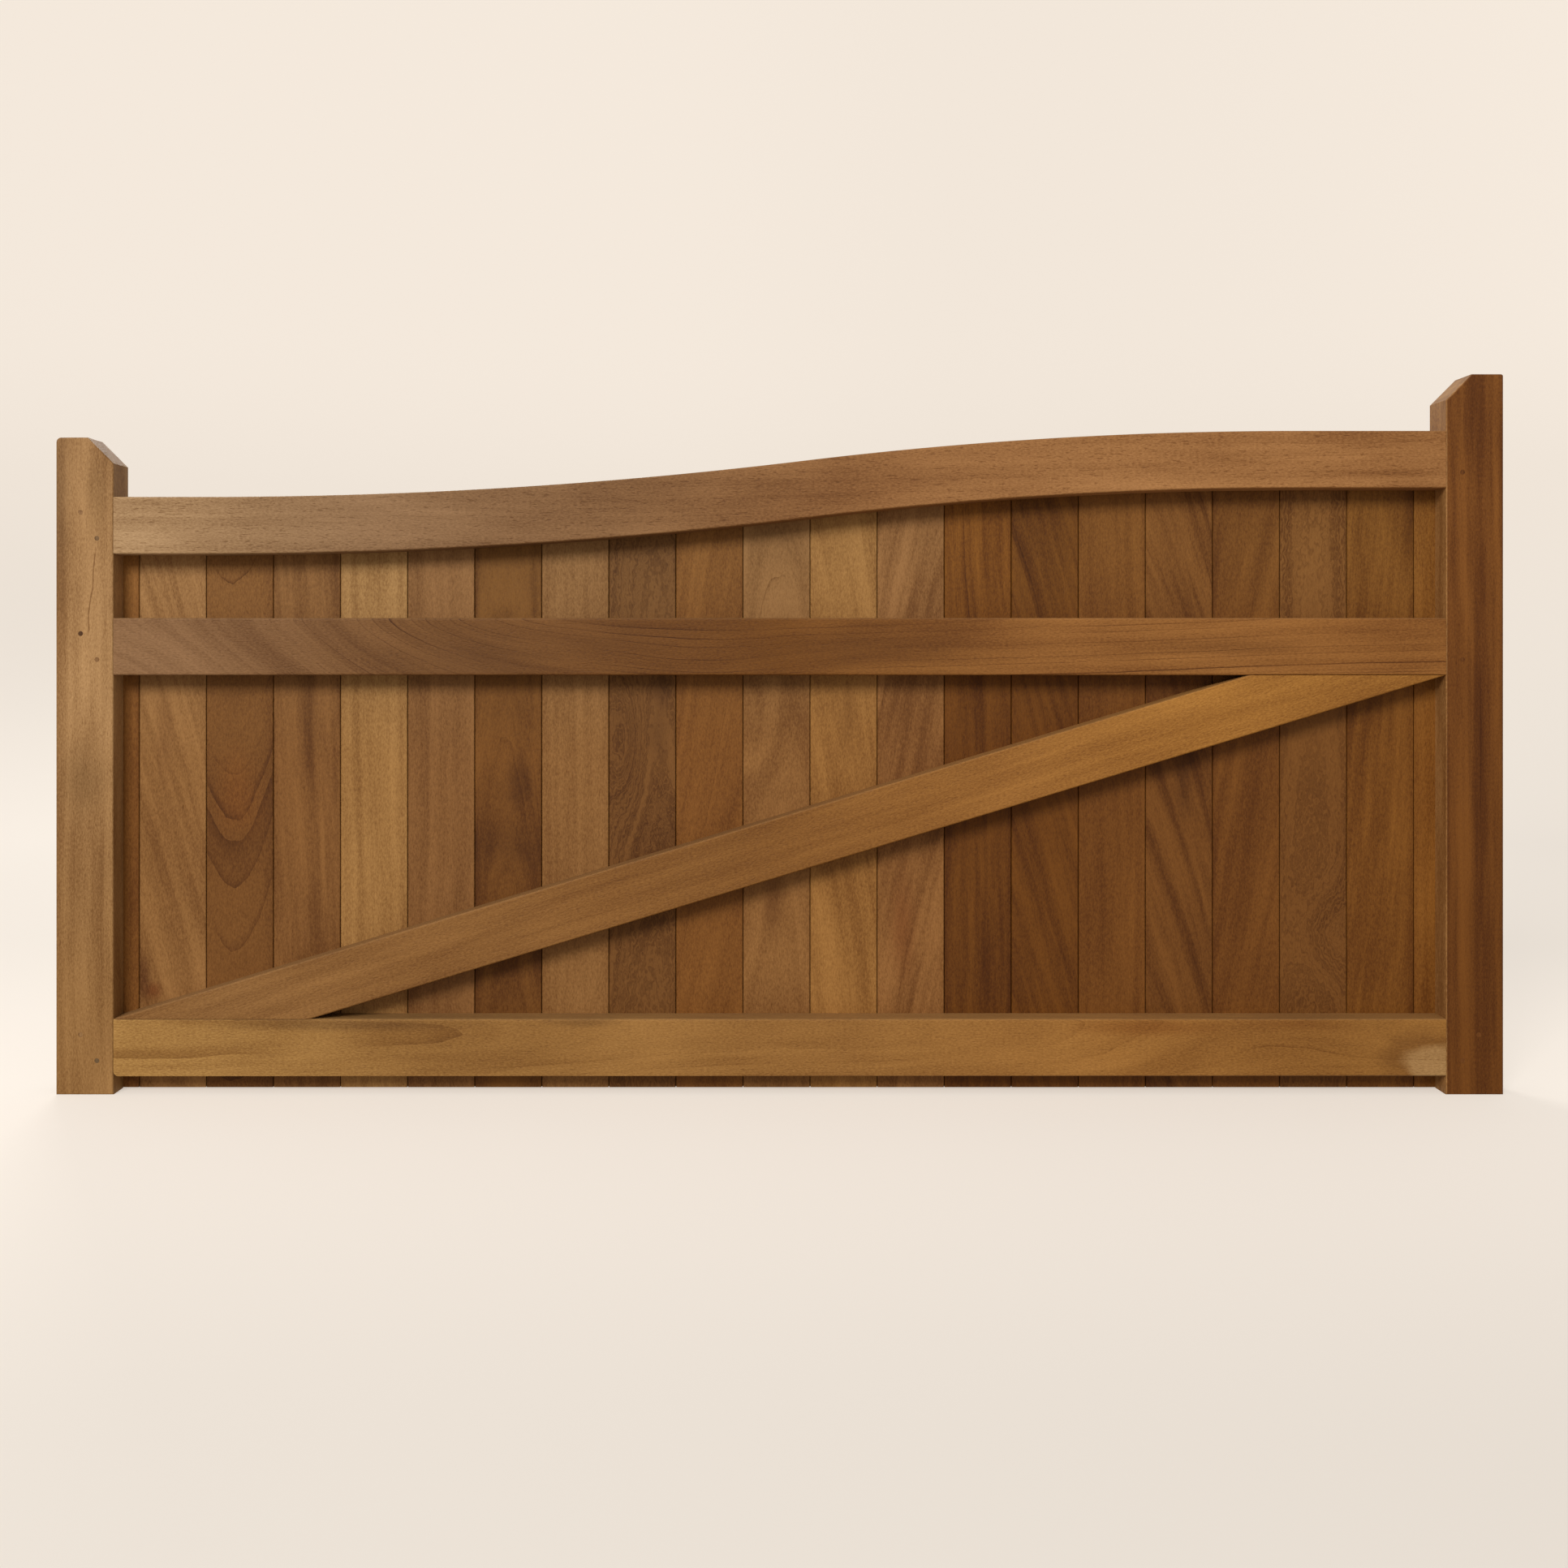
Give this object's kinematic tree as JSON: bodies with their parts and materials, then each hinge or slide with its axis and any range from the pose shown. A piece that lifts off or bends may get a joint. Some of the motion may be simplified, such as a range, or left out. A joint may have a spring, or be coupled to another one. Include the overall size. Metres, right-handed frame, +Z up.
{
  "type": "garden gate",
  "caption": "Wide framed, ledged and braced hardwood gate leaf with vertical matched boards and a swept top rail that rises to a taller closing stile.",
  "frame": {"origin": "middle of the leaf's width and depth, level with the feet of the stiles", "axes": "+X from the hanging stile to the closing stile, -Y out of the side that shows the rails and brace, +Y out of the boarded side, +Z up"},
  "size_m": [2.4, 0.07, 1.195],
  "materials": {
    "frame_timber": "planed, oiled, lightly weathered",
    "board_timber": "planed, oiled, mixed tones",
    "peg_timber": "sawn flush and oiled",
    "nail_steel": "dull stainless"
  },
  "bodies": {
    "root": {"hanging_stile": "frame_timber", "closing_stile": "frame_timber", "top_rail": "frame_timber", "middle_rail": "frame_timber", "bottom_rail": "frame_timber", "brace": "frame_timber", "board_01": "board_timber", "board_02": "board_timber", "board_03": "board_timber", "board_04": "board_timber", "board_05": "board_timber", "board_06": "board_timber", "board_07": "board_timber", "board_08": "board_timber", "board_09": "board_timber", "board_10": "board_timber", "board_11": "board_timber", "board_12": "board_timber", "board_13": "board_timber", "board_14": "board_timber", "board_15": "board_timber", "board_16": "board_timber", "board_17": "board_timber", "board_18": "board_timber", "board_19": "board_timber", "board_20": "board_timber", "board_21": "board_timber", "tenon_pegs": "peg_timber", "tenon_wedges": "peg_timber", "nails_middle_rail": "nail_steel", "nails_bottom_rail": "nail_steel", "nails_brace": "nail_steel"}
  },
  "joints": []
}
